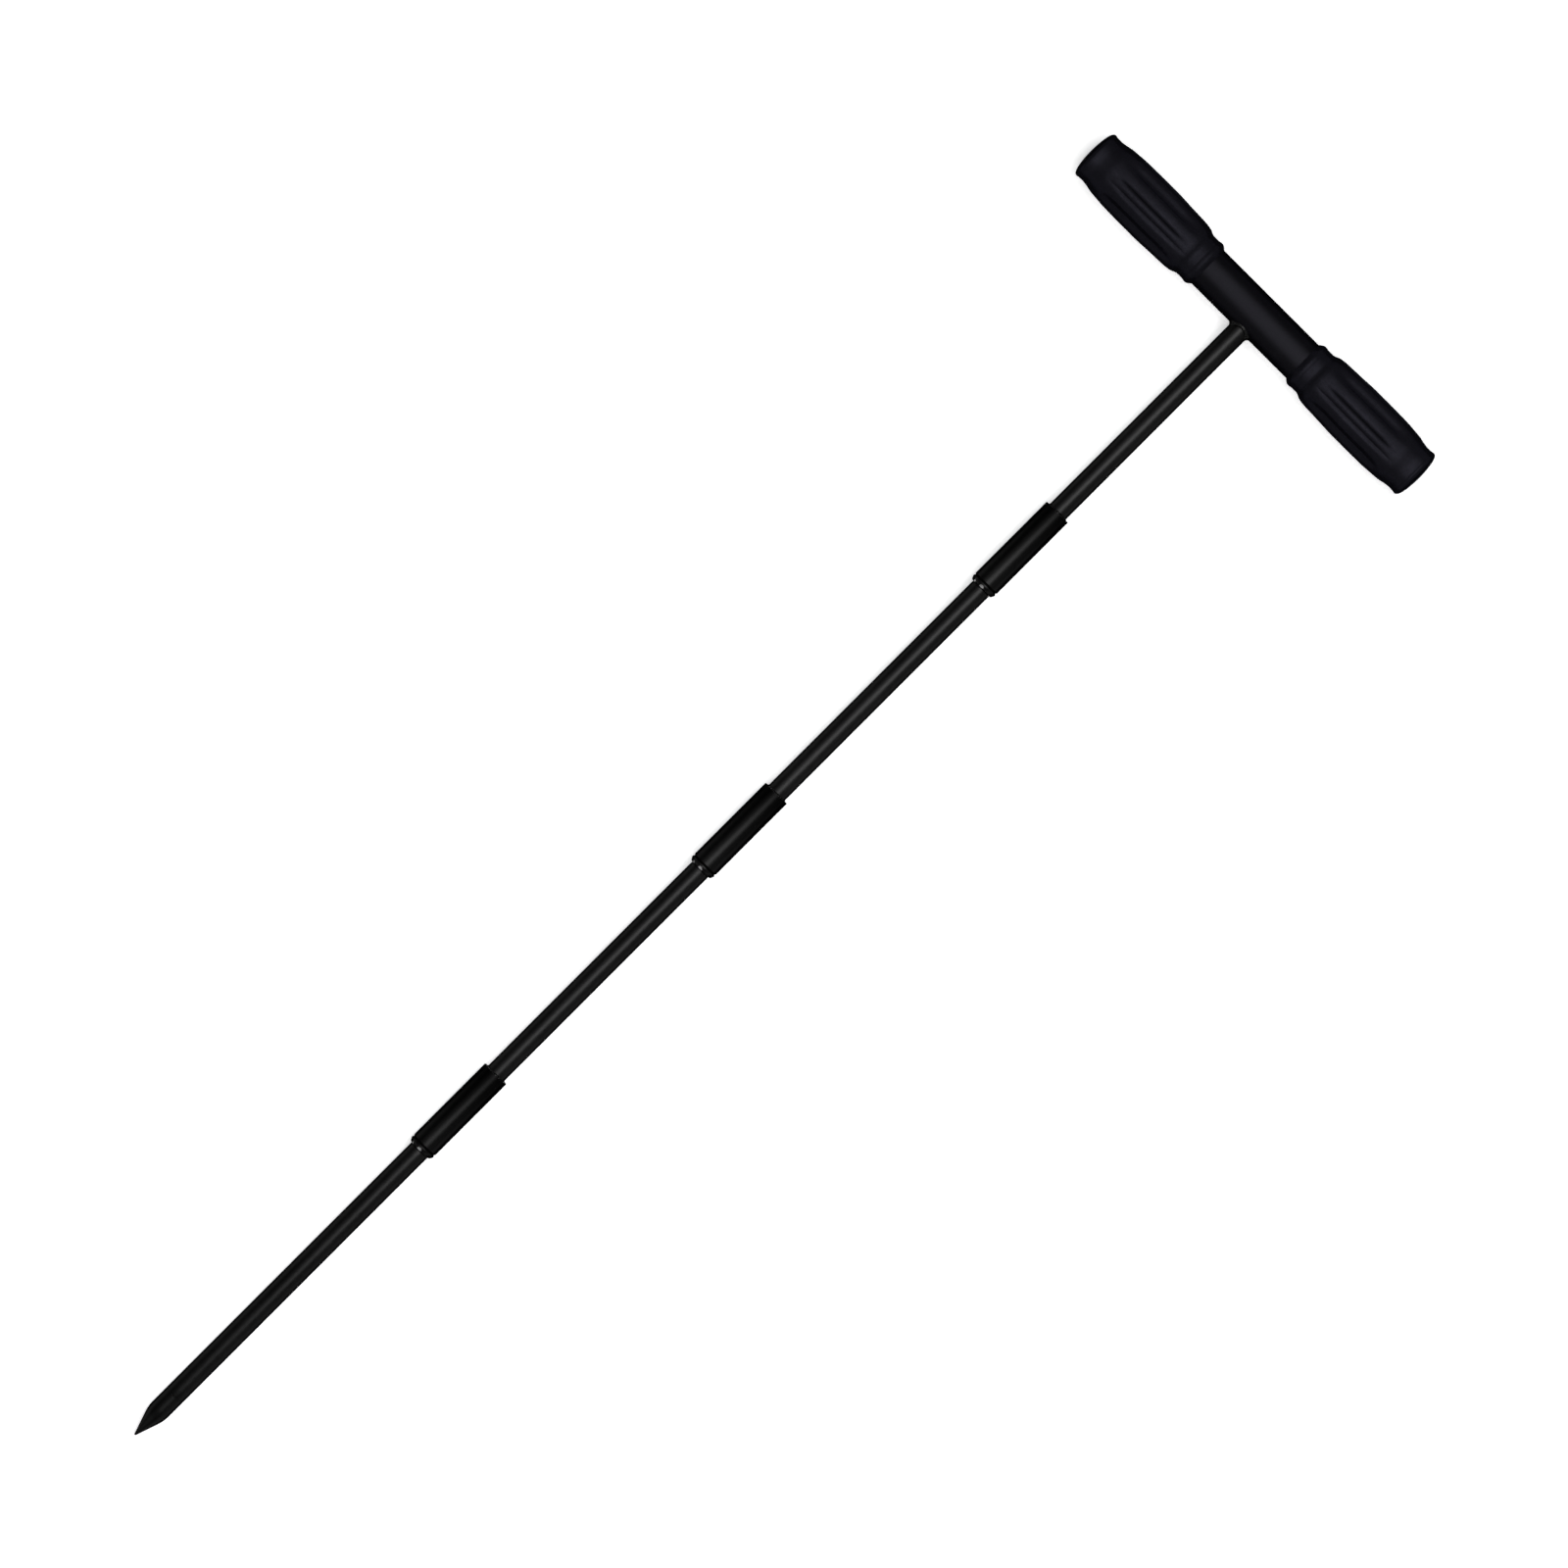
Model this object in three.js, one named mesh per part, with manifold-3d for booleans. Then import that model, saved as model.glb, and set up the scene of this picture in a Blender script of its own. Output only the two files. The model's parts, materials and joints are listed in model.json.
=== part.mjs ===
// A sectional soil sampling probe with a T handle, four screwed rods and a solid point, lying on a bench.
// Lengths are in millimetres and +Z is up. The handle is at +X, the tip at -X, the crossbar lies along Y.
import * as THREE from "three";
import { mergeVertices } from "three/addons/utils/BufferGeometryUtils.js";
import Module from "manifold-3d";

const wasm = await Module();
wasm.setup();

// The whole probe. Distances along the rods start at the crossbar's axis and grow towards the tip.
const REACH = 1000;
const FIRST_COUPLING = 210.2; // crossbar axis to the middle of the first coupling
const COUPLING_SPACING = 250.5;
const COUPLING_COUNT = 3;
const FIT = 0.3; // clearance wherever one piece sits in, on or against another
const OVERRUN = 1; // how far a cutter runs past what it cuts
const SAME_POINT = 1e-4; // corners nearer than this are one corner

// Rods, which are heavy-walled tubes
const ROD_RADIUS = 7.15;
const ROD_WALL = 2.4;
const ROD_EDGE = 0.3; // chamfer on a rod's ends
const ROD_BORE = ROD_RADIUS - ROD_WALL;

// Screw thread: a coarse right-hand trapezoid on each stud and in each coupling
const THREAD_SHOULDER = 1.15; // step from a rod's surface down to the thread's crest
const THREAD_RADIUS = ROD_RADIUS - THREAD_SHOULDER;
const THREAD_DEPTH = 1.5;
const THREAD_PITCH = 3;
const THREAD_FLANK = THREE.MathUtils.degToRad(15);
const CREST_SHARE = 0.366; // of the pitch
const THREAD_CLEARANCE = 0.2;
const THREAD_TURNS = 6;
const THREAD_LENGTH = THREAD_TURNS * THREAD_PITCH;
const RUNOUT = 2; // how much further the coupling is threaded than the stud reaches

// Studs, pressed and brazed into the head of each lower rod
const STUD_SHANK = 24;
const NECK_LENGTH = 3;
const NECK_RELIEF = 0.2; // how far the neck lies below the thread's root
const NECK_RADIUS = THREAD_RADIUS - THREAD_DEPTH - NECK_RELIEF;
const STUD_REACH = NECK_LENGTH + THREAD_LENGTH;

// Seal rings on the studs' necks
const SEAL_SECTION = 1.3;
const SEAL_BORE = NECK_RADIUS + FIT;

// Couplings: a welded socket for the rod above, a threaded half for the stud below
const COUPLING_WALL = 2;
const COUPLING_RADIUS = ROD_RADIUS + FIT + COUPLING_WALL;
const COUPLING_LENGTH = 68;
const SOCKET_DEPTH = 34;
const MOUTH_CHAMFER = 4;
const MOUTH_STEP = 0.11; // the mouth's rim stands this far proud of the rod
const SEAL_SEAT_RADIUS = SEAL_BORE + SEAL_SECTION + FIT;
const SEAL_SEAT_DEPTH = FIT + SEAL_SECTION + FIT;
const COUPLING_EDGE = 0.3;

// Weld beads
const COUPLING_BEAD = 1.6;
const CROSSBAR_BEAD = 2;
const BEAD_HOLLOW_SHARE = 0.38; // where a bead's face lies between its corner and its toes

// Point, pressed and brazed into the lowest rod
const POINT_ANGLE = THREE.MathUtils.degToRad(19);
const POINT_ROUNDING = 40;
const POINT_BLUNT = 0.45;
const POINT_COLLAR = 9;
const POINT_SHANK = 22;

// Crossbar tube and its grips
const HANDLE_LENGTH = 292.2;
const CROSSBAR_RADIUS = 14.6;
const CROSSBAR_WALL = 2;
const CROSSBAR_BORE = CROSSBAR_RADIUS - CROSSBAR_WALL;
const GRIP_LENGTH = 104;
const GRIP_RADIUS = 19.95;
const GRIP_END_WALL = 4;
const GRIP_BORE = CROSSBAR_RADIUS + FIT;
// The grip's outline: shares of its length from the outer end, shares of its largest radius,
// and whether the grooves run there at full depth.
const GRIP_OUTLINE_SHARES = [
  [0, 0, 0],
  [0.006, 0.45, 0],
  [0.013, 0.66, 0],
  [0.022, 0.81, 0],
  [0.036, 0.883, 0],
  [0.09, 0.868, 0],
  [0.14, 0.914, 0],
  [0.235, 0.963, 0],
  [0.285, 0.983, 1],
  [0.5, 1, 1],
  [0.66, 0.972, 1],
  [0.79, 0.954, 1],
  [0.835, 0.93, 1],
  [0.872, 0.868, 0],
  [0.892, 0.827, 0],
  [0.935, 0.827, 0],
  [0.957, 0.852, 0],
  [0.985, 0.79, 0],
];
const GROOVE_DEPTH = 1.1;
const GROOVE_GROUPS = 6;
const GROOVES_IN_GROUP = 3;
const GROOVE_COLUMNS = 3; // columns of points from one groove to the next
const LAND_COLUMNS = 3; // further columns on the smooth land between two groups
const GROUP_COLUMNS = GROOVES_IN_GROUP * GROOVE_COLUMNS + LAND_COLUMNS;
const GRIP_TURN = THREE.MathUtils.degToRad(-12); // the top group's middle, from straight up towards +X

// How finely round pieces are cut
const THREAD_SIDES = 16;
const ROD_SIDES = 24;
const CROSSBAR_SIDES = 32;
const SEAL_SIDES = 16;
const SEAL_SECTION_SIDES = 6;
const ROUNDING_STEPS = 4;

// Places that several pieces share
const LAST_MOUTH =
  FIRST_COUPLING + (COUPLING_COUNT - 1) * COUPLING_SPACING + COUPLING_LENGTH / 2;
const POINT_SLOPE = Math.tan(POINT_ANGLE);
const POINT_CONE =
  (ROD_RADIUS - POINT_BLUNT - POINT_ROUNDING * (1 - Math.cos(POINT_ANGLE))) / POINT_SLOPE;
const POINT_SHOULDER = POINT_CONE + POINT_ROUNDING * Math.sin(POINT_ANGLE); // tip to full radius
const POINT_SEAM = REACH - POINT_SHOULDER - POINT_COLLAR;

const paint = { color: 0x121212, roughness: 0.34, metalness: 0.2 };
const couplingPaint = { color: 0x171717, roughness: 0.5, metalness: 0.2 };
const weldPaint = { color: 0x101010, roughness: 0.55, metalness: 0.2 };
const gripRubber = { color: 0x1b1a1f, roughness: 0.72, metalness: 0 };
const bareSteel = { color: 0x8d9094, roughness: 0.38, metalness: 1 };
const sealRubber = { color: 0x0d0d0d, roughness: 0.65, metalness: 0 };

function piece(name, geometry, finish) {
  const mesh = new THREE.Mesh(geometry, new THREE.MeshStandardMaterial(finish));
  mesh.name = name;
  return mesh;
}

// A turned solid from pairs of radius and place along the axis, which is +Y.
function turned(outline, sides, start = 0) {
  const points = outline.map(([radius, along]) => new THREE.Vector2(radius, along));
  return new THREE.LatheGeometry(points, sides, start);
}

// A turned solid with a hole right through: its outline closes on itself.
function turnedRing(outline, sides) {
  return turned([...outline, outline[0]], sides);
}

function toSolid(geometry) {
  const bare = geometry.clone();
  bare.deleteAttribute("normal");
  bare.deleteAttribute("uv");
  const merged = mergeVertices(bare, SAME_POINT);
  return new wasm.Manifold(
    new wasm.Mesh({
      numProp: 3,
      vertProperties: merged.getAttribute("position").array,
      triVerts: new Uint32Array(merged.index.array),
    }),
  );
}

function toGeometry(solid) {
  const mesh = solid.getMesh();
  const geometry = new THREE.BufferGeometry();
  geometry.setAttribute("position", new THREE.BufferAttribute(mesh.vertProperties, 3));
  geometry.setIndex(new THREE.BufferAttribute(mesh.triVerts, 1));
  geometry.computeVertexNormals();
  return geometry;
}

// A rod with a right-hand ridge wound round it, from one place along its axis to another and a little past.
// Each row of points is a helix of one radius, so a row's last column meets the first column of the row
// one pitch further on. Grow is the clearance added to the ridge on every side.
function ridgedRod(from, to, grow, shift) {
  const outward = grow > 0 ? 1 / Math.cos(Math.PI / THREAD_SIDES) : 1;
  const crest = (CREST_SHARE * THREAD_PITCH) / 2 + grow;
  const foot = crest + THREAD_DEPTH * Math.tan(THREAD_FLANK);
  const high = (THREAD_RADIUS + grow) * outward;
  const low = (THREAD_RADIUS - THREAD_DEPTH + grow) * outward;
  const profile = [
    [-foot, low],
    [-crest, high],
    [crest, high],
    [foot, low],
  ];
  const firstTurn = Math.floor((from - shift) / THREAD_PITCH) - 2;
  const lastTurn = Math.ceil((to - shift) / THREAD_PITCH) + 1;
  const rows = profile.length * (lastTurn - firstTurn);
  const positions = [];
  const starts = [];
  for (let column = 0; column < THREAD_SIDES; column += 1) {
    starts.push(positions.length / 3);
    const share = column / THREAD_SIDES;
    const angle = 2 * Math.PI * share;
    const height = column === 0 ? rows + profile.length : rows;
    for (let row = 0; row < height; row += 1) {
      const [offset, radius] = profile[row % profile.length];
      const turn = firstTurn + Math.floor(row / profile.length) + share;
      const along = shift + turn * THREAD_PITCH + offset;
      positions.push(radius * Math.sin(angle), along, radius * Math.cos(angle));
    }
  }
  const at = (column, row) =>
    column < THREAD_SIDES ? starts[column] + row : starts[0] + row + profile.length;
  const lowEnd = positions.length / 3;
  positions.push(0, shift + (firstTurn - 1) * THREAD_PITCH, 0);
  const highEnd = lowEnd + 1;
  positions.push(0, shift + (lastTurn + 2) * THREAD_PITCH, 0);
  const faces = [];
  for (let column = 0; column < THREAD_SIDES; column += 1) {
    for (let row = 0; row < rows - 1; row += 1) {
      const [a, b] = [at(column, row), at(column + 1, row)];
      const [d, c] = [at(column, row + 1), at(column + 1, row + 1)];
      faces.push(a, b, d, c, d, b);
    }
    faces.push(lowEnd, at(column + 1, 0), at(column, 0));
    faces.push(highEnd, at(column, rows - 1), at(column + 1, rows - 1));
  }
  for (let row = 0; row < profile.length; row += 1) {
    faces.push(lowEnd, at(0, row), at(0, row + 1));
    faces.push(highEnd, at(0, rows + row), at(0, rows + row - 1));
  }
  const geometry = new THREE.BufferGeometry();
  geometry.setAttribute("position", new THREE.Float32BufferAttribute(positions, 3));
  geometry.setIndex(faces);
  return toSolid(geometry);
}

// A length of rod tube from one place to another, with both ends chamfered.
function rodTube(from, to) {
  return turnedRing(
    [
      [ROD_BORE, from],
      [ROD_RADIUS - ROD_EDGE, from],
      [ROD_RADIUS, from + ROD_EDGE],
      [ROD_RADIUS, to - ROD_EDGE],
      [ROD_RADIUS - ROD_EDGE, to],
      [ROD_BORE, to],
    ],
    ROD_SIDES,
  );
}

// A stud with its rod's head at zero: shank towards the tip, neck and thread towards the handle.
function studGeometry() {
  const shankRadius = ROD_BORE - FIT;
  const root = THREAD_RADIUS - THREAD_DEPTH;
  const body = turned(
    [
      [0, -STUD_REACH + THREAD_DEPTH],
      [NECK_RADIUS, -STUD_REACH + THREAD_DEPTH],
      [NECK_RADIUS, FIT],
      [shankRadius, FIT],
      [shankRadius, STUD_SHANK - ROD_EDGE],
      [shankRadius - ROD_EDGE, STUD_SHANK],
      [0, STUD_SHANK],
    ],
    ROD_SIDES,
  );
  const envelope = turned(
    [
      [0, -STUD_REACH],
      [root, -STUD_REACH],
      [THREAD_RADIUS + OVERRUN, -STUD_REACH + THREAD_DEPTH + OVERRUN],
      [THREAD_RADIUS + OVERRUN, -NECK_LENGTH - THREAD_DEPTH - OVERRUN],
      [root, -NECK_LENGTH],
      [0, -NECK_LENGTH],
    ],
    ROD_SIDES,
  );
  const thread = ridgedRod(-STUD_REACH, -NECK_LENGTH, 0, 0).intersect(toSolid(envelope));
  return toGeometry(thread.add(toSolid(body)));
}

// A coupling with its mouth at zero and its socket towards the handle.
function couplingGeometry() {
  const drill = THREAD_RADIUS - THREAD_DEPTH;
  const tapped = STUD_REACH + RUNOUT;
  const socket = ROD_RADIUS + FIT;
  const body = turnedRing(
    [
      [socket, -COUPLING_LENGTH],
      [COUPLING_RADIUS - COUPLING_EDGE, -COUPLING_LENGTH],
      [COUPLING_RADIUS, -COUPLING_LENGTH + COUPLING_EDGE],
      [COUPLING_RADIUS, -MOUTH_CHAMFER],
      [ROD_RADIUS + MOUTH_STEP, 0],
      [SEAL_SEAT_RADIUS, 0],
      [SEAL_SEAT_RADIUS, -SEAL_SEAT_DEPTH],
      [drill, -SEAL_SEAT_DEPTH],
      [drill, SOCKET_DEPTH - COUPLING_LENGTH],
      [socket, SOCKET_DEPTH - COUPLING_LENGTH],
    ],
    ROD_SIDES,
  );
  const reach = THREAD_RADIUS + THREAD_CLEARANCE + OVERRUN;
  const envelope = turned(
    [
      [0, -tapped],
      [drill, -tapped],
      [reach, -tapped + THREAD_DEPTH + OVERRUN],
      [reach, -SEAL_SEAT_DEPTH + FIT],
      [0, -SEAL_SEAT_DEPTH + FIT],
    ],
    ROD_SIDES,
  );
  const cutter = ridgedRod(-tapped, 0, THREAD_CLEARANCE, FIT).intersect(toSolid(envelope));
  return toGeometry(toSolid(body).subtract(cutter));
}

// The weld bead round a rod at a coupling's upper end, which is at zero.
function couplingBead() {
  const inner = ROD_RADIUS + FIT;
  return turnedRing(
    [
      [inner, -FIT - COUPLING_BEAD],
      [inner + COUPLING_BEAD * BEAD_HOLLOW_SHARE, -FIT - COUPLING_BEAD * BEAD_HOLLOW_SHARE],
      [inner + COUPLING_BEAD, -FIT],
      [inner, -FIT],
    ],
    ROD_SIDES,
  );
}

// The weld bead where the handle rod enters the crossbar: its foot follows the crossbar's round side.
function crossbarBead() {
  const inner = ROD_RADIUS + FIT;
  const bead = turnedRing(
    [
      [inner, 0],
      [inner + CROSSBAR_BEAD, 0],
      [inner + CROSSBAR_BEAD * BEAD_HOLLOW_SHARE, CROSSBAR_BEAD * BEAD_HOLLOW_SHARE],
      [inner, CROSSBAR_BEAD],
    ],
    ROD_SIDES,
  );
  const place = bead.getAttribute("position");
  for (let i = 0; i < place.count; i += 1) {
    const foot = Math.sqrt((CROSSBAR_RADIUS + FIT) ** 2 - place.getZ(i) ** 2);
    place.setY(i, place.getY(i) + foot);
  }
  return bead;
}

// A seal ring on a stud's neck, against the rod's head at zero.
function sealGeometry() {
  const ring = new THREE.TorusGeometry(
    SEAL_BORE + SEAL_SECTION / 2,
    SEAL_SECTION / 2,
    SEAL_SECTION_SIDES,
    SEAL_SIDES,
  );
  return ring.rotateX(Math.PI / 2).translate(0, -FIT - SEAL_SECTION / 2, 0);
}

// The point, with the tip at zero and everything else towards the handle.
function pointGeometry() {
  const outline = [
    [0, -POINT_SHOULDER - POINT_COLLAR - POINT_SHANK],
    [ROD_BORE - FIT, -POINT_SHOULDER - POINT_COLLAR - POINT_SHANK],
    [ROD_BORE - FIT, -POINT_SHOULDER - POINT_COLLAR],
    [ROD_RADIUS, -POINT_SHOULDER - POINT_COLLAR],
  ];
  for (let step = 0; step <= ROUNDING_STEPS; step += 1) {
    const angle = (POINT_ANGLE * step) / ROUNDING_STEPS;
    outline.push([
      ROD_RADIUS - POINT_ROUNDING * (1 - Math.cos(angle)),
      -POINT_SHOULDER + POINT_ROUNDING * Math.sin(angle),
    ]);
  }
  outline.push([POINT_BLUNT, 0], [0, 0]);
  return turned(outline, ROD_SIDES);
}

// The crossbar tube, drilled on the tip's side for the handle rod.
function crossbarGeometry() {
  const half = HANDLE_LENGTH / 2 - GRIP_END_WALL - FIT;
  const tube = turnedRing(
    [
      [CROSSBAR_BORE, -half],
      [CROSSBAR_RADIUS, -half],
      [CROSSBAR_RADIUS, half],
      [CROSSBAR_BORE, half],
    ],
    CROSSBAR_SIDES,
  );
  const hole = turned(
    [
      [0, 0],
      [ROD_RADIUS + FIT, 0],
      [ROD_RADIUS + FIT, CROSSBAR_RADIUS + OVERRUN],
      [0, CROSSBAR_RADIUS + OVERRUN],
    ],
    ROD_SIDES,
  ).rotateZ(Math.PI / 2);
  return toGeometry(toSolid(tube).subtract(toSolid(hole)));
}

// A grip on one end of the crossbar: side is 1 at +Y and -1 at -Y.
function gripGeometry(side) {
  const end = HANDLE_LENGTH / 2;
  const rim = end - GRIP_LENGTH;
  const outer = GRIP_OUTLINE_SHARES.map(([along, radius, groove]) => ({
    radius: radius * GRIP_RADIUS,
    along: end - along * GRIP_LENGTH,
    groove,
  })).reverse();
  const rows = [
    { radius: 0, along: end - GRIP_END_WALL, groove: 0 },
    { radius: GRIP_BORE, along: end - GRIP_END_WALL, groove: 0 },
    { radius: GRIP_BORE, along: rim, groove: 0 },
    ...outer,
  ];
  if (side < 0) rows.reverse();
  const columns = GROOVE_GROUPS * GROUP_COLUMNS;
  const outline = rows.map(({ radius, along }) => [radius, side * along]);
  const grip = turned(outline, columns, GRIP_TURN);
  const place = grip.getAttribute("position");
  const half = ((GROOVES_IN_GROUP - 1) / 2) * GROOVE_COLUMNS;
  for (let column = 0; column <= columns; column += 1) {
    const inGroup = (column + half) % GROUP_COLUMNS;
    const grooved = inGroup % GROOVE_COLUMNS === 0 && inGroup <= 2 * half;
    rows.forEach(({ radius, groove }, row) => {
      if (!grooved || !groove) return;
      const i = column * rows.length + row;
      const share = (radius - GROOVE_DEPTH) / radius;
      place.setXYZ(i, place.getX(i) * share, place.getY(i), place.getZ(i) * share);
    });
  }
  return grip;
}

// The crossbar with its grips
const crossbar = new THREE.Group();
crossbar.add(piece("crossbar_tube", crossbarGeometry(), paint));
crossbar.add(piece("grip_left", gripGeometry(1), gripRubber));
crossbar.add(piece("grip_right", gripGeometry(-1), gripRubber));

// The rods. In this group +Y runs from the crossbar's axis to the tip, and each lower section hangs on
// the one above it, with its own zero at its rod's head.
const rods = new THREE.Group();
rods.rotation.z = Math.PI / 2;
const rodHead = Math.sqrt(CROSSBAR_BORE ** 2 - ROD_RADIUS ** 2) - FIT;
const socketFloor = SOCKET_DEPTH - COUPLING_LENGTH;
rods.add(piece("crossbar_weld", crossbarBead(), weldPaint));

let section = rods;
let head = -rodHead;
let mouth = FIRST_COUPLING + COUPLING_LENGTH / 2;
for (let number = 1; number <= COUPLING_COUNT; number += 1) {
  section.add(piece(`rod_${number}`, rodTube(head, mouth + socketFloor - FIT), paint));
  const coupling = piece(`coupling_${number}`, couplingGeometry(), couplingPaint);
  coupling.position.y = mouth;
  const bead = piece(`coupling_weld_${number}`, couplingBead(), weldPaint);
  bead.position.y = mouth - COUPLING_LENGTH;
  const next = new THREE.Group();
  next.position.y = mouth + FIT;
  next.add(piece(`seal_ring_${number}`, sealGeometry(), sealRubber));
  next.add(piece(`threaded_stud_${number}`, studGeometry(), bareSteel));
  section.add(coupling, bead, next);
  section = next;
  head = 0;
  mouth = COUPLING_SPACING - FIT;
}
const lastHead = LAST_MOUTH + FIT;
const last = COUPLING_COUNT + 1;
section.add(piece(`rod_${last}`, rodTube(head, POINT_SEAM - FIT - lastHead), paint));
const point = piece("point", pointGeometry(), paint);
point.position.y = REACH - lastHead;
section.add(point);

// The probe rests on its two grips and on the shoulder of its point.
const rest = new THREE.Group();
rest.add(crossbar, rods);
rest.rotation.y = -Math.asin((GRIP_RADIUS - ROD_RADIUS) / (REACH - POINT_SHOULDER));

// The origin is under the middle of the probe, on what it lies on.
const probe = new THREE.Group();
probe.add(rest);
probe.updateMatrixWorld(true);
const box = new THREE.Box3().setFromObject(probe, true);
const centre = box.getCenter(new THREE.Vector3());
rest.position.set(-centre.x, -centre.y, -box.min.z);

export default probe;
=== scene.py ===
"""A sectional soil sampling probe with a T handle, lying on a pale floor.

Every piece is a surface of revolution, or nearly one, about one of two axes: the rods' and the crossbar's.
A surface is a grid of points, rows along the axis by columns round it.
"""

import json
import math

import bmesh
import bpy
import numpy as np
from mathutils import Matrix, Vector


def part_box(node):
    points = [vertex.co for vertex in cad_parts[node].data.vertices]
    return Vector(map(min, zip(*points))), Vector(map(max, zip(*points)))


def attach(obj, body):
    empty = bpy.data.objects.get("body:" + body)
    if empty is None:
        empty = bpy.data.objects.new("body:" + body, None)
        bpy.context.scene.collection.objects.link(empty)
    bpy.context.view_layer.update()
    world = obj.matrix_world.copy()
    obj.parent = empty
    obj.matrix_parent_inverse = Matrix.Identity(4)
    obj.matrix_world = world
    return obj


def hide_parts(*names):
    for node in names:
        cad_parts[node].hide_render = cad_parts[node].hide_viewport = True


MM = 0.001
TURN = 2 * math.pi

# The frame, and the sizes and places that several pieces are worked out from

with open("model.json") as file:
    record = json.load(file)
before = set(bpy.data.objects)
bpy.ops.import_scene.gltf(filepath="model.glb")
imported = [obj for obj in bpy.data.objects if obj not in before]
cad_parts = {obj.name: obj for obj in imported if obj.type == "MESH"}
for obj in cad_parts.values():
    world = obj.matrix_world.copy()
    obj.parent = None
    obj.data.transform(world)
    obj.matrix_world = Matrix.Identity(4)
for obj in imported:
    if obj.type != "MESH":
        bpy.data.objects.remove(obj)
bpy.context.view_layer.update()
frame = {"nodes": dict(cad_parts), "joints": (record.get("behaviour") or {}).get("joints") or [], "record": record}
record = frame["record"]
joints = {joint["name"]: joint for joint in frame["joints"]}
bodies = record["behaviour"]["bodies"]
body_of = {name: body for body, names in bodies.items() for name in names}

CROSS = np.array([0.0, 1.0, 0.0])  # along the crossbar, towards grip_left
TIPWARD = np.array(joints["unscrew_1"]["axis"], float)
TIPWARD /= np.linalg.norm(TIPWARD)
UPWARD = np.cross(CROSS, TIPWARD)
low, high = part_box("crossbar_tube")
HUB = (np.array(low) + np.array(high)) / 2  # where the two axes cross


def corners_of(mesh):
    """The corners of a mesh, one row each."""
    corners = np.empty(len(mesh.vertices) * 3, np.float32)
    mesh.vertices.foreach_get("co", corners)
    return corners.reshape(-1, 3).astype(float)


def reach(name, direction=TIPWARD):
    """How far a CAD node runs along an axis through the hub: its first and last place."""
    along = (corners_of(frame["nodes"][name].data) - HUB) @ direction
    return along.min(), along.max()


def girth(name, direction=TIPWARD, least=False):
    """The largest, or least, distance of a CAD node's corners from an axis through the hub."""
    offset = corners_of(frame["nodes"][name].data) - HUB
    radius = np.linalg.norm(offset - np.outer(offset @ direction, direction), axis=1)
    return radius.min() if least else radius.max()


FACET_ROOM = 0.04 * MM  # how much slimmer the rods are than their solids' corners, to clear the floor
ROD = girth("rod_2") - FACET_ROOM
ROD_BORE = girth("rod_2", least=True)
SLEEVE = girth("coupling_1")
TUBE = girth("crossbar_tube", CROSS)
TUBE_BORE = girth("crossbar_tube", CROSS, least=True)
EDGE = 0.35 * MM  # the rounding of the crossbar's and the rods' outer edges

# Surfaces

COLUMNS = 96  # columns round a piece, unless it has a number of its own
ARC_STEPS = 5
SHARP = math.radians(40)
MERGE = 1e-7  # corners closer than this become one


class Axis:
    """A line through the hub. Angles start at its first side and grow by the right-hand rule."""

    def __init__(self, along, first):
        self.along = along
        self.first = first
        self.second = np.cross(along, first)

    def place(self, radius, angle, along):
        """Points at a radius, an angle and a distance along the line, as broadcast arrays."""
        radius, angle, along = np.broadcast_arrays(radius, angle, along)
        return (
            HUB
            + along[..., None] * self.along
            + (radius * np.cos(angle))[..., None] * self.first
            + (radius * np.sin(angle))[..., None] * self.second
        )


RODS = Axis(TIPWARD, UPWARD)
BAR = Axis(CROSS, UPWARD)


def angles(columns=COLUMNS):
    """Evenly spaced angles of one turn, as one row."""
    return np.arange(columns)[None, :] * TURN / columns


def folded(value, period):
    """How far a value lies from the nearest multiple of a period."""
    return np.abs((value + period / 2) % period - period / 2)


def smooth(share):
    """Zero below 0, one above 1 and an S-shaped rise between, 3t^2 - 2t^3."""
    share = np.clip(share, 0, 1)
    return share * share * (3 - 2 * share)


def grid_faces(rows, columns, ring=False):
    """The four-sided faces of a grid that goes round in its columns. A ring's last row joins its first."""
    index = np.arange(rows * columns).reshape(rows, columns)
    before = index if ring else index[:-1]
    after = np.roll(index, -1, axis=0) if ring else index[1:]
    faces = np.stack([before, np.roll(before, -1, 1), np.roll(after, -1, 1), after], axis=-1)
    return faces.reshape(-1, 4)


def skin(name, points, ring=False, sharp=SHARP):
    """A closed piece from a grid of points. Where it isn't a ring, each end row is one point. Faces that
    meet at more than the sharp angle keep their edge."""
    faces = grid_faces(*points.shape[:2], ring)
    mesh = bpy.data.meshes.new(name)
    mesh.vertices.add(points.shape[0] * points.shape[1])
    mesh.vertices.foreach_set("co", points.astype(np.float32).ravel())
    mesh.loops.add(faces.size)
    mesh.loops.foreach_set("vertex_index", faces.astype(np.int32).ravel())
    mesh.polygons.add(len(faces))
    mesh.polygons.foreach_set("loop_start", np.arange(0, faces.size, 4, dtype=np.int32))
    mesh.update(calc_edges=True)
    built = bmesh.new()
    built.from_mesh(mesh)
    bmesh.ops.remove_doubles(built, verts=built.verts, dist=MERGE)
    bmesh.ops.recalc_face_normals(built, faces=built.faces)
    built.to_mesh(mesh)
    built.free()
    mesh.polygons.foreach_set("use_smooth", np.ones(len(mesh.polygons), bool))
    mesh.set_sharp_from_angle(angle=sharp)
    piece = bpy.data.objects.new(name, mesh)
    bpy.context.scene.collection.objects.link(piece)
    return piece


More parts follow.
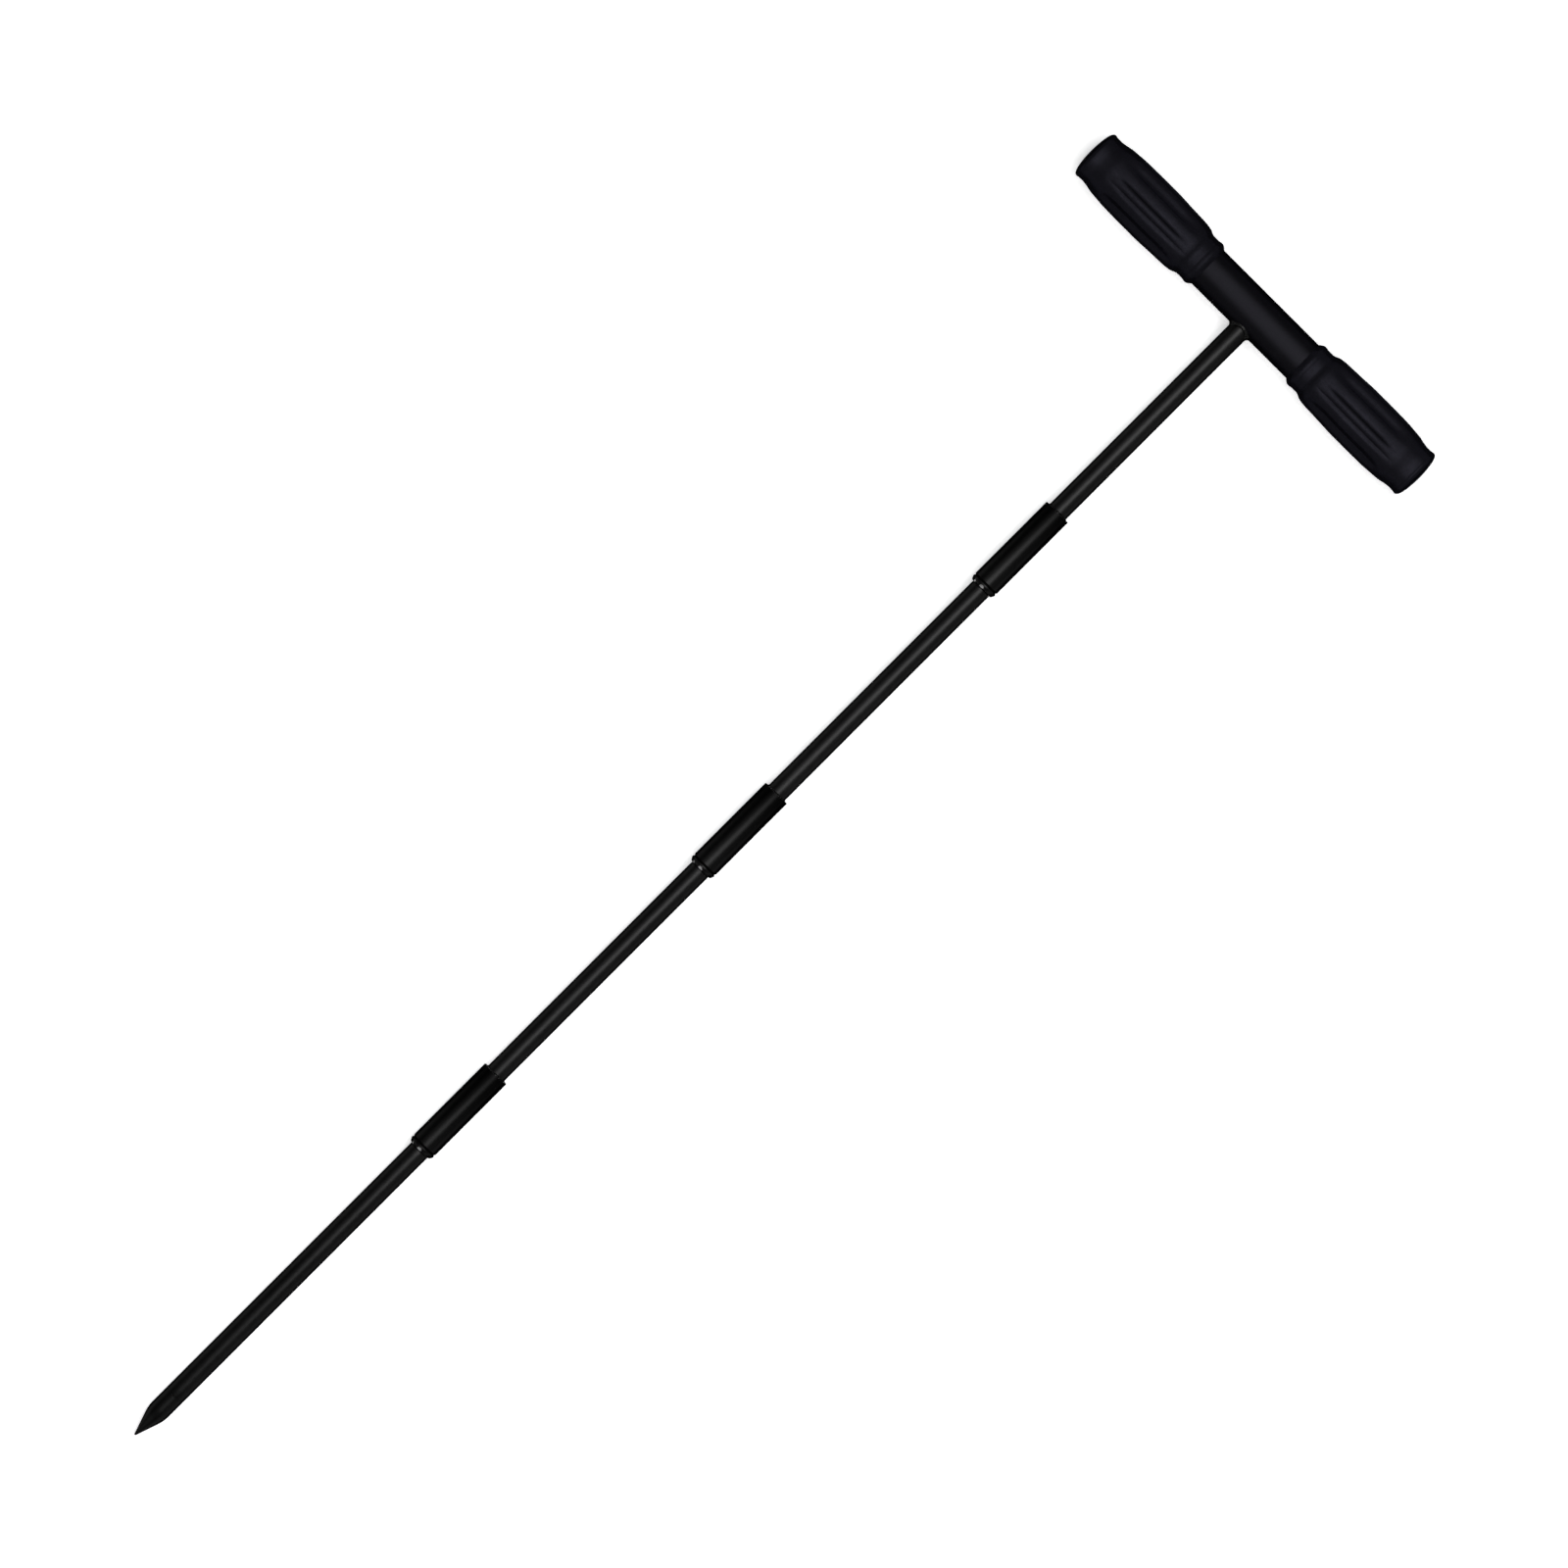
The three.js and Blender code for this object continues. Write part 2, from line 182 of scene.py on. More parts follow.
def rounded(outline):
    """An outline of (radius, along, rounding) with each corner that has a rounding replaced by an arc of
    that radius, which touches both of the corner's sides. The result is rows of (radius, along)."""
    corners = np.array([point[:2] for point in outline], float)
    made = []
    for i, (_, _, rounding) in enumerate(outline):
        here = corners[i]
        if not rounding:
            made.append(here)
            continue
        back = corners[i - 1] - here
        forth = corners[(i + 1) % len(corners)] - here
        room = min(np.linalg.norm(back), np.linalg.norm(forth)) / 2
        back /= np.linalg.norm(back)
        forth /= np.linalg.norm(forth)
        half = math.acos(np.clip(back @ forth, -1, 1)) / 2
        cut = min(rounding / math.tan(half), room)
        middle = here + (back + forth) / np.linalg.norm(back + forth) * cut / math.cos(half)
        start = here + back * cut - middle
        stop = here + forth * cut - middle
        share = np.linspace(0, 1, ARC_STEPS + 1)[:, None]
        spread = math.acos(np.clip(start @ stop / (start @ start), -1, 1))
        arc = np.sin((1 - share) * spread) * start + np.sin(share * spread) * stop
        made.extend(middle + arc / math.sin(spread))
    return np.array(made)


def filled(outline, step):
    """An outline with points added so that none is further than step from the next."""
    made = [outline[:1]]
    for start, stop in zip(outline[:-1], outline[1:]):
        count = max(1, math.ceil(np.linalg.norm(stop - start) / step))
        share = np.arange(1, count + 1)[:, None] / count
        made.append(start + share * (stop - start))
    return np.concatenate(made)


def stacked(parts, columns=COLUMNS):
    """The radii and the places of one grid, from parts that follow one another. A part is its rows' radii,
    which may be the same all round, and their places."""
    radii = [np.broadcast_to(radius, (len(place), columns)) for radius, place in parts]
    return np.concatenate(radii), np.concatenate([place for _, place in parts])


def tube(name, axis, span, bore, outer, step, columns=COLUMNS):
    """A tube with rounded outer edges, and rows no further than step apart."""
    start, stop = span
    outline = [(bore, start, 0), (outer, start, EDGE), (outer, stop, EDGE), (bore, stop, 0)]
    rows = filled(rounded(outline), step)
    return skin(name, axis.place(rows[:, :1], angles(columns), rows[:, 1:]), ring=True)


def nearness(piece, places, width):
    """How near each corner of a piece lies to one of some places along the rods, from 1 there to 0 at a
    width away."""
    along = (corners_of(piece.data) - HUB) @ RODS.along
    near = np.min(np.abs(along[:, None] - np.array(places)[None, :]), axis=1)
    return smooth(1 - near / width)


def store(piece, name, values):
    """Stores a number for each corner of a piece, as an attribute that its material reads."""
    attribute = piece.data.attributes.new(name, "FLOAT", "POINT")
    attribute.data.foreach_set("value", values.astype(np.float32))


def fit_in(piece, material, name):
    """Gives a piece its material and its slot, and puts it in a node's place on the node's body."""
    piece.data.materials.append(material)
    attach(piece, body_of[name])
    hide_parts(name)


# Shader nodes

FLOAT = "NodeSocketFloat"
VECTOR = "NodeSocketVector"
MIX_SOCKETS = {"RGBA": (6, 7, 2), "FLOAT": (2, 3, 0)}  # a Mix node's two terms and its result


def feed(tree, inlet, value):
    """Gives a node's input a constant, or links another node's output to it."""
    if isinstance(value, bpy.types.NodeSocket):
        tree.links.new(value, inlet)
    else:
        inlet.default_value = value


def settle(tree, made, **values):
    """Sets a node's attributes from lower-case names, and feeds its inputs from the rest."""
    for key, value in values.items():
        if key[0].islower():
            setattr(made, key, value)
        else:
            feed(tree, made.inputs[key.replace("_", " ")], value)
    return made


def node(tree, kind, **values):
    """A new node of a tree, set as above."""
    return settle(tree, tree.nodes.new("ShaderNode" + kind), **values)


def worked_out(tree, operation, first, second):
    """The result of an operation on two terms, each a number or an output."""
    made = node(tree, "Math", operation=operation)
    feed(tree, made.inputs[0], first)
    feed(tree, made.inputs[1], second)
    return made.outputs["Value"]


def stretched(tree, value, least, most):
    """A number mapped so that least gives 0 and most gives 1."""
    return node(tree, "MapRange", Value=value, From_Min=least, From_Max=most).outputs["Result"]


def noise_at(tree, scale, detail, roughness=0.5):
    """A noise on Object coordinates. Its scale is a number, or an output that gives it."""
    place = node(tree, "TexCoord").outputs["Object"]
    noise = node(tree, "TexNoise", Vector=place, Scale=scale, Detail=detail, Roughness=roughness)
    return noise.outputs["Fac"]


def blended(tree, mask, plain, marked, kind="RGBA"):
    """Mixes two colours, or two numbers, by a mask. Each is a constant or an output."""
    first, second, result = MIX_SOCKETS[kind]
    mix = node(tree, "Mix", data_type=kind)
    feed(tree, mix.inputs[0], mask)
    feed(tree, mix.inputs[first], plain)
    feed(tree, mix.inputs[second], marked)
    return mix.outputs[result]


# Shader node groups

HANDLING_FINER = 9.0  # how much finer the second of the two noises is
HANDLING_LEAST = 0.55  # where the mask starts, on the noises' product, less the cover
HANDLING_MOST = 0.6  # and where it is full


def new_group(name, inputs, output, kind):
    """A shader group with named number inputs and one output: the group, what it is given, and where its
    result goes."""
    group = bpy.data.node_groups.new(name, "ShaderNodeTree")
    for label, default in inputs.items():
        socket = group.interface.new_socket(label, in_out="INPUT", socket_type=FLOAT)
        socket.default_value = default
    group.interface.new_socket(output, in_out="OUTPUT", socket_type=kind)
    given = group.nodes.new("NodeGroupInput").outputs
    return group, given, group.nodes.new("NodeGroupOutput").inputs[output]


def make_grain():
    """Fine relief: a noise of some scale, raised by a depth in metres, given out as a normal."""
    group, given, result = new_group("fine_grain", {"Scale": 1000.0, "Depth": 0.02 * MM}, "Normal", VECTOR)
    height = noise_at(group, given["Scale"], detail=4.0, roughness=0.6)
    bump = node(group, "Bump", Strength=1.0, Height=height, Distance=given["Depth"])
    feed(group, result, bump.outputs["Normal"])
    return group


def make_handling():
    """Marks of handling: two noises, one broad and one fine, multiplied and stretched to a mask."""
    group, given, result = new_group("handling", {"Scale": 30.0, "Cover": 0.5}, "Mask", FLOAT)
    broad = noise_at(group, given["Scale"], detail=2.0)
    finer = worked_out(group, "MULTIPLY", given["Scale"], HANDLING_FINER)
    fine = noise_at(group, finer, detail=5.0, roughness=0.65)
    both = worked_out(group, "MULTIPLY", broad, fine)
    least = worked_out(group, "SUBTRACT", HANDLING_LEAST, given["Cover"])
    feed(group, result, stretched(group, both, least, HANDLING_MOST))
    return group


def make_rim_wear_and_glint():
    """Wear along edges, and painted glints on the couplings' lips: the rim attribute, broken up by a noise, above
    a threshold.
    """
    group, given, result = new_group("rim_wear_and_glint", {"Scale": 900.0, "Amount": 0.5}, "Mask", FLOAT)
    edge = node(group, "Attribute", attribute_name="rim").outputs["Fac"]
    broken = noise_at(group, given["Scale"], detail=4.0, roughness=0.7)
    total = worked_out(group, "MULTIPLY", edge, broken)
    least = worked_out(group, "SUBTRACT", 1.0, given["Amount"])
    feed(group, result, stretched(group, total, least, 1.0))
    return group


GRAIN = make_grain()
HANDLING = make_handling()
RIM_WEAR_AND_GLINT = make_rim_wear_and_glint()


def placed(tree, group, **values):
    """The result of a group placed in a material, with its inputs set."""
    made = tree.nodes.new("ShaderNodeGroup")
    made.node_tree = group
    return settle(tree, made, **values).outputs[0]


# Materials

NEUTRAL = (1.0, 1.0, 1.0)
EDGE_TINT = 0.04  # a dark metallic surface's reflection at grazing angles
HANDLED_ROUGHNESS = 0.08  # how much handling changes a surface's roughness

PAINT_MARKS = {"Scale": 22.0, "Cover": 0.4}
PAINT_MARKED_TONE = 1.25  # the tone of handled paint, as a multiple of plain paint's
PAINT_WEAR_SCALE = 1400.0
PAINT_WORN_ROUGHNESS = 0.3
PAINT_SHADED_SHARE = 0.33  # the share of a paint's tone that is left where the painted shade is deepest

RUBBER_BLOOM = {"Scale": 35.0, "Cover": 0.42}
RUBBER_BLOOM_TONE = 1.35  # the tone of handled rubber, as a multiple of plain rubber's
RUBBER_GRAIN = {"Scale": 2600.0, "Depth": 0.05 * MM}

STEEL_MARKS = {"Scale": 90.0, "Cover": 0.45}
STEEL_TONE = 0.42
STEEL_TINT = (1.0, 1.0, 1.03)
STEEL_OILED_TONE = 0.3
STEEL_ROUGHNESS = 0.3
STEEL_OILED_ROUGHNESS = 0.46
STEEL_GRAIN = {"Scale": 5200.0, "Depth": 0.01 * MM}


def new_material(name):
    """A material, its tree and its Principled BSDF."""
    material = bpy.data.materials.new(name)
    material.use_nodes = True
    return material, material.node_tree, material.node_tree.nodes["Principled BSDF"]


def grey(value, tint=NEUTRAL):
    """A neutral colour, or one a little tinted."""
    return (value * tint[0], value * tint[1], value * tint[2], 1.0)


def paint(name, base, roughness, grain_scale, grain_depth, wear, tint=NEUTRAL, bare=0.05):
    """Thin black paint baked on steel: a deep black whose edges stay black, a fine orange-peel relief,
    faint handling marks that change its tone and roughness, a painted shade that darkens a coupling's
    tone towards its weld and in its groove, and rims worn lighter, towards bare steel, with bare patches
    on the couplings' lips that are partly wear and partly a painted glint."""
    material, tree, shader = new_material(name)
    marks = placed(tree, HANDLING, **PAINT_MARKS)
    # worn rims, and on the couplings' lips bare patches that are partly a painted glint
    worn = placed(tree, RIM_WEAR_AND_GLINT, Scale=PAINT_WEAR_SCALE, Amount=wear)
    # painted shade: a coupling's tone darker towards its weld and in its groove
    painted_shade = node(tree, "Attribute", attribute_name="painted_shade").outputs["Fac"]
    colour = blended(tree, marks, grey(base, tint), grey(base * PAINT_MARKED_TONE, tint))
    colour = blended(tree, painted_shade, colour, grey(base * PAINT_SHADED_SHARE, tint))
    gloss = blended(tree, marks, roughness, roughness + HANDLED_ROUGHNESS, "FLOAT")
    settle(
        tree,
        shader,
        Base_Color=blended(tree, worn, colour, grey(bare)),
        Roughness=blended(tree, worn, gloss, PAINT_WORN_ROUGHNESS, "FLOAT"),
        Normal=placed(tree, GRAIN, Scale=grain_scale, Depth=grain_depth),
        Metallic=1.0,
        Specular_Tint=grey(EDGE_TINT),
    )
    return material


def rubber(name, base, roughness, sheen, tint=NEUTRAL):
    """Moulded rubber: a fine matt grain and a faint bloom where hands have been. Its sheen is a share of
    dark metallic reflection, which keeps the edges dark."""
    material, tree, shader = new_material(name)
    bloom = placed(tree, HANDLING, **RUBBER_BLOOM)
    settle(
        tree,
        shader,
        Base_Color=blended(tree, bloom, grey(base, tint), grey(base * RUBBER_BLOOM_TONE, tint)),
        Roughness=blended(tree, bloom, roughness, roughness - HANDLED_ROUGHNESS, "FLOAT"),
        Normal=placed(tree, GRAIN, **RUBBER_GRAIN),
        Metallic=sheen,
        Specular_IOR_Level=0.0,
        Specular_Tint=grey(EDGE_TINT),
    )
    return material


def plated_steel(name):
    """Zinc-plated steel, turned, with a film of oil: metal whose roughness and tone vary finely."""
    material, tree, shader = new_material(name)
    marks = placed(tree, HANDLING, **STEEL_MARKS)
    settle(
        tree,
        shader,
        Base_Color=blended(tree, marks, grey(STEEL_TONE, STEEL_TINT), grey(STEEL_OILED_TONE)),
        Roughness=blended(tree, marks, STEEL_ROUGHNESS, STEEL_OILED_ROUGHNESS, "FLOAT"),
        Normal=placed(tree, GRAIN, **STEEL_GRAIN),
        Metallic=1.0,
    )
    return material


ROD_PAINT = paint(
    "gloss_black_paint", base=0.0158, roughness=0.37, grain_scale=900.0, grain_depth=0.01 * MM, wear=0.35
)
SLEEVE_PAINT = paint(
    "satin_black_paint",
    base=0.0124,
    roughness=0.34,
    grain_scale=1500.0,
    grain_depth=0.014 * MM,
    wear=0.5,
    bare=0.5,
)
TUBE_PAINT = paint(
    "crossbar_black_paint",
    base=0.0073,
    roughness=0.45,
    grain_scale=1200.0,
    grain_depth=0.012 * MM,
    wear=0.35,
    tint=(1.0, 0.98, 1.2),
)
WELD_PAINT = paint(
    "weld_black_paint", base=0.0138, roughness=0.38, grain_scale=2400.0, grain_depth=0.03 * MM, wear=0.2
)
GRIP_RUBBER = rubber("grip_rubber", base=0.0085, roughness=0.52, sheen=0.8, tint=(1.02, 1.0, 1.32))
SEAL_RUBBER = rubber("seal_rubber", base=0.008, roughness=0.4, sheen=0.6)
BARE_STEEL = plated_steel("plated_steel")

# Crossbar and grips

TUBE_COLUMNS = 128
TUBE_STEP = 8 * MM

HANDLE_HALF = reach("grip_left", CROSS)[1]
GRIP_LENGTH = HANDLE_HALF - reach("grip_left", CROSS)[0]
GRIP_BORE_FIT = 0.1 * MM
GRIP_BORE = TUBE + GRIP_BORE_FIT
GRIP_END_WALL = 4 * MM
GRIP_COLUMNS = 480
GRIP_SHARP = math.radians(50)
# Stretches of a grip's rows, from its outer end: first and last place in millimetres, and how many rows
GRIP_ROWS = ((0.02, 6, 26), (6, 24, 16), (24, 34, 22), (34, 84, 34), (84, 103.98, 60))
# A grip's outline, from its outer end: distance along and radius, in millimetres
GRIP_OUTLINE = np.array(
    [
        (0.0, 0.0),
        (0.12, 4.2),
        (0.5, 8.4),
        (1.05, 12.2),
        (1.6, 14.4),
        (2.3, 16.1),
        (3.5, 17.4),
        (4.8, 17.75),
        (6.0, 17.45),
        (9.7, 17.3),
        (13.4, 17.8),
        (18.4, 18.8),
        (23.3, 19.25),
        (28.2, 19.6),
        (34.4, 19.8),
        (46.8, 19.9),
        (59.0, 19.9),
        (65.3, 19.65),
        (71.5, 19.35),
        (77.7, 19.15),
        (82.6, 19.0),
        (87.0, 18.55),
        (89.4, 17.9),
        (91.3, 17.0),
        (93.2, 16.5),
        (97.2, 16.5),
        (98.9, 16.85),
        (100.1, 16.95),
        (101.3, 16.6),
        (102.6, 15.8),
        (103.5, 15.05),
        (104.0, 14.75),
    ]
)

RIB_GROUPS = 4
RIB_SPACING = math.radians(17.4)
RIB_DEPTH = 1.35 * MM
RIB_PROUD = 0.12 * MM  # how far the ribs' crests stand out of the outline
BROAD_CREST = math.radians(13)  # where a broad rib's outer side starts to fall, from its group's middle
BROAD_FALL = 0.75 * MM
SCOOP_HALF = math.radians(17)
SCOOP_DEPTH = 1.3 * MM
GRIP_TURN = math.radians(-10.2)  # the middle of the group on top, which lies towards the tip
RIBS_START = 17 * MM
RIBS_STOP = 92 * MM
RIBS_RISE = 20 * MM  # over this length the ribs grow out of the plain grip
RIBS_FALL = 24 * MM


def crossbar_tube():
    """The crossbar: a plain tube."""
    span = reach("crossbar_tube", CROSS)
    piece = tube("crossbar_tube_painted", BAR, span, TUBE_BORE, TUBE, TUBE_STEP, TUBE_COLUMNS)
    fit_in(piece, TUBE_PAINT, "crossbar_tube")


def grip_radius(along):
    """The grip's radius at a distance from its outer end: the outline's points joined by cubics. The slope
    at a point is the harmonic mean of those on its two sides, or none where they differ in sign, so the
    curve never swells past its points."""
    place, radius = GRIP_OUTLINE.T * MM
    step = np.diff(radius) / np.diff(place)
    before, after = step[:-1], step[1:]
    both = before * after
    mean = np.where(both > 0, 2 * both / np.where(both > 0, before + after, 1), 0)
    slope = np.concatenate([step[:1], mean, step[-1:]])
    i = np.clip(np.searchsorted(place, along) - 1, 0, len(place) - 2)
    gap = place[i + 1] - place[i]
    t = (along - place[i]) / gap
    return (
        (2 * t**3 - 3 * t**2 + 1) * radius[i]
        + (t**3 - 2 * t**2 + t) * gap * slope[i]
        + (3 * t**2 - 2 * t**3) * radius[i + 1]
        + (t**3 - t**2) * gap * slope[i + 1]
    )


def hollow(away, half):
    """A cosine hollow's share of its depth, from 1 at its middle to 0 at its half width away."""
    return 0.5 + 0.5 * np.cos(np.pi * np.minimum(away / half, 1))


def rib_cut(angle, along):
    """How much lower than its outline a grip lies. Groups of three ribs go evenly round it, a narrow rib
    between two broad ones. A rib's section falls by the square of the share of its half width, so they
    meet in sharp grooves. The broad ribs' outer sides fall away as a wide cosine, with a scoop, a narrower
    cosine, added between the groups. All fade at both ends."""
    group = TURN / RIB_GROUPS
    across = folded(angle - GRIP_TURN, group)
    from_rib = np.abs(across - np.round(across / RIB_SPACING).clip(0, 1) * RIB_SPACING)
    ribs = np.where(across < RIB_SPACING, np.minimum(from_rib / (RIB_SPACING / 2), 1) ** 2, 0)
    to_parting = group / 2 - across
    fall = BROAD_FALL * hollow(to_parting, group / 2 - BROAD_CREST)
    scoop = SCOOP_DEPTH * hollow(to_parting, SCOOP_HALF)
    section = np.maximum(RIB_DEPTH * ribs, fall + scoop)
    shown = smooth((along - RIBS_START) / RIBS_RISE) * smooth((RIBS_STOP - along) / RIBS_FALL)
    return (section - RIB_PROUD) * shown


def grip(name, side):
    """A moulded grip: its outline turned, less the ribs' section, with a blind bore for the crossbar."""
    turn = angles(GRIP_COLUMNS)
    shell = np.unique(np.concatenate([np.linspace(*stretch) for stretch in GRIP_ROWS]))[:, None] * MM
    bore = np.array([(GRIP_BORE, GRIP_LENGTH), (GRIP_BORE, GRIP_END_WALL), (0, GRIP_END_WALL)])
    parts = [
        (0, np.zeros((1, 1))),
        (grip_radius(shell) - rib_cut(turn, shell), shell),
        np.hsplit(bore, 2),
    ]
    radius, place = stacked(parts, GRIP_COLUMNS)
    points = BAR.place(radius, turn, side * (HANDLE_HALF - place))
    fit_in(skin(name + "_moulded", points, sharp=GRIP_SHARP), GRIP_RUBBER, name)


# Rods

ROD_STEP = 6 * MM
ROD_RIM = 3 * MM  # how far from its ends a rod's paint is worn
HEAD_SEAT = 0.2 * MM  # how much closer to the coupling's mouth a rod's head lies than the solids' gap


def rod(number):
    """A rod: a heavy-walled tube with rounded ends."""
    name = f"rod_{number}"
    start, stop = reach(name)
    if number > 1:
        start -= HEAD_SEAT
    piece = tube(name + "_painted", RODS, (start, stop), ROD_BORE, ROD, ROD_STEP)
    store(piece, "rim", nearness(piece, [start, stop], ROD_RIM))
    fit_in(piece, ROD_PAINT, name)


# Threads, studs and seal rings

PITCH = TURN / record["behaviour"]["couplings"][0]["ratio"]  # the screws' travel in one turn
CREST = girth("threaded_stud_1")
THREAD_DEPTH = 1.5 * MM
THREAD_ROOT = CREST - THREAD_DEPTH
THREAD_GAP = 0.2 * MM  # between a stud's ridge and the groove that it runs in
THREAD_ROWS = 22  # to one pitch
THREAD_SHARP = math.radians(35)
RIDGE_ROOT_SHARE = 0.317  # half a ridge's width at its root, of the pitch
RIDGE_CREST_SHARE = 0.183  # and at its crest
CHAMFER_START = 0.3 * MM  # how far beyond the thread a chamfer starts
CHAMFER_SLOPE = 1.1
NECK_UNDERCUT = 0.2 * MM  # how far the neck lies below the thread's root
NECK = THREAD_ROOT - NECK_UNDERCUT
NECK_LENGTH = 3 * MM
SHANK_FIT = 0.3 * MM  # between a shank and its rod's bore
SHANK = ROD_BORE - SHANK_FIT
SEAL_POINTS = 24
SEAL_COLUMNS = 64


def ridge(head, along, angle):
    """How high a screw's ridge stands, from 0 at its root to 1 at its crest: a trapezoid that has moved
    one pitch on after each turn. Head is the place of the rod's head that both threads are cut from."""
    from_middle = folded((along - head) / PITCH - angle / TURN, 1)
    return smooth((RIDGE_ROOT_SHARE - from_middle) / (RIDGE_ROOT_SHARE - RIDGE_CREST_SHARE))


def stud(number):
    """A stud: a threaded end with a chamfer at both its ends, a neck, and a shank inside the rod."""
    name = f"threaded_stud_{number}"
    start, stop = reach(name)
    head = reach(f"rod_{number + 1}")[0]
    neck_start = head - NECK_LENGTH
    thread = np.arange(start, neck_start, PITCH / THREAD_ROWS)[:, None]
    full = THREAD_ROOT + THREAD_DEPTH * ridge(head, thread, angles())
    from_end = np.minimum(thread - start, neck_start - thread)
    chamfer = THREAD_ROOT - CHAMFER_START + from_end * CHAMFER_SLOPE
    plain = rounded(
        [
            (NECK, neck_start, 0),
            (NECK, head, 0),
            (SHANK, head + EDGE, 0),
            (SHANK, stop, EDGE),
            (0, stop, 0),
        ]
    )
    parts = [
        (0, np.array([[start]])),
        (np.minimum(full, np.maximum(chamfer, NECK)), thread),
        np.hsplit(plain, 2),
    ]
    radius, place = stacked(parts)
    piece = skin(name + "_turned", RODS.place(radius, angles(), place), sharp=THREAD_SHARP)
    fit_in(piece, BARE_STEEL, name)


def seal_ring(number):
    """A seal ring: a circle turned round the stud's neck."""
    name = f"seal_ring_{number}"
    start, stop = reach(name)
    section = (stop - start) / 2
    turn = angles(SEAL_POINTS).T
    radius = girth(name) - section + section * np.cos(turn)
    along = (start + stop) / 2 + section * np.sin(turn)
    piece = skin(name + "_moulded", RODS.place(radius, angles(SEAL_COLUMNS), along), ring=True)
    fit_in(piece, SEAL_RUBBER, name)


# Couplings

SLEEVE_STEP = 4 * MM
SLEEVE_RIM = 1.5 * MM  # how far from its upper end a sleeve's paint is worn
SLEEVE_ROUNDING = 0.4 * MM
# The mouth's lip, a ring with a sloping face, and the groove above it: distances from the mouth
GROOVE_TOP = 4.8 * MM
GROOVE_FLOOR = 3.9 * MM
LIP_TOP = 3.2 * MM
LIP_RIDGE = 2.3 * MM
LIP_NOSE = 0.35 * MM
GROOVE_DEPTH = 0.7 * MM
GROOVE_TOP_ROUNDING = 0.3 * MM
GROOVE_FLOOR_ROUNDING = 0.2 * MM
LIP_TOP_ROUNDING = 0.35 * MM
LIP_RIDGE_ROUNDING = 0.9 * MM
LIP_NOSE_ROUNDING = 0.5 * MM
LIP_DROP = 0.05 * MM  # how far the lip's ridge lies inside the sleeve's side
LIP_SLOPE = math.radians(29)
# Where a lip's paint is worn through, in patches set where glints show, partly wear and partly a painted
# glint: each patch's middle and half width in degrees, and its strength
LIP_WEAR_AND_GLINT = ((4.0, 22.0, 2.6), (48.0, 14.0, 1.7), (-31.0, 9.0, 1.0), (118.0, 16.0, 1.6), (-150.0, 20.0, 1.9))
SEAT = 6.5 * MM
SEAT_DEPTH = 1.9 * MM
MOUTH_FIT = 0.15 * MM  # between the rod's head and the mouth's flat
SOCKET_FIT = 0.05 * MM  # between the rod above and its socket
SOCKET_DEPTH = 34 * MM
# The tapped half's end: distances from the floor of the rod's socket
TAP_END = 8 * MM
TAP_START = 9 * MM
TAP_RISE = 3 * MM  # over this length the thread reaches its full depth


def coupling(number):
    """A coupling: a sleeve with a narrow groove and a lip ring at its mouth, a seat for the seal ring, a
    tapped half and a socket for the rod above."""
    name = f"coupling_{number}"
    start, stop = reach(name)
    head = reach(f"rod_{number + 1}")[0]
    seat = stop - SEAT_DEPTH
    socket_floor = start + SOCKET_DEPTH
    socket = ROD + SOCKET_FIT
    lip = SLEEVE - LIP_DROP
    nose = lip - (LIP_RIDGE - LIP_NOSE) * math.tan(LIP_SLOPE)
    outside = rounded(
        [
            (socket, start, 0),
            (SLEEVE, start, SLEEVE_ROUNDING),
            (SLEEVE, stop - GROOVE_TOP, GROOVE_TOP_ROUNDING),
            (SLEEVE - GROOVE_DEPTH, stop - GROOVE_FLOOR, GROOVE_FLOOR_ROUNDING),
            (lip, stop - LIP_TOP, LIP_TOP_ROUNDING),
            (lip, stop - LIP_RIDGE, LIP_RIDGE_ROUNDING),
            (nose, stop - LIP_NOSE, LIP_NOSE_ROUNDING),
            (ROD + MOUTH_FIT, stop, 0),
            (SEAT, stop, 0),
            (SEAT, seat, 0),
            (THREAD_ROOT, seat, 0),
        ]
    )
    thread = np.arange(seat, socket_floor + TAP_END, -PITCH / THREAD_ROWS)[:, None]
    full = THREAD_ROOT + THREAD_GAP + THREAD_DEPTH * ridge(head, thread, angles())
    cut = full * smooth((thread - socket_floor - TAP_START) / TAP_RISE)
    lead = CREST + CHAMFER_START - (seat - thread) * CHAMFER_SLOPE
    inside = np.array([(THREAD_ROOT, socket_floor), (socket, socket_floor)])
    parts = [
        np.hsplit(filled(outside, SLEEVE_STEP), 2),
        (np.maximum(np.maximum(cut, THREAD_ROOT), lead), thread),
        np.hsplit(inside, 2),
    ]
    radius, place = stacked(parts)
    piece = skin(name + "_painted", RODS.place(radius, angles(), place), ring=True, sharp=THREAD_SHARP)
    # worn at the upper end; on the lip, bare patches that are partly wear and partly a painted glint
    store(piece, "rim", nearness(piece, [start], SLEEVE_RIM) + lip_wear_and_glint(piece, stop))
    # painted shade, from none at the mouth to full at the weld, and full in the groove
    store(piece, "painted_shade", painted_shade(piece, start, stop))
    fit_in(piece, SLEEVE_PAINT, name)


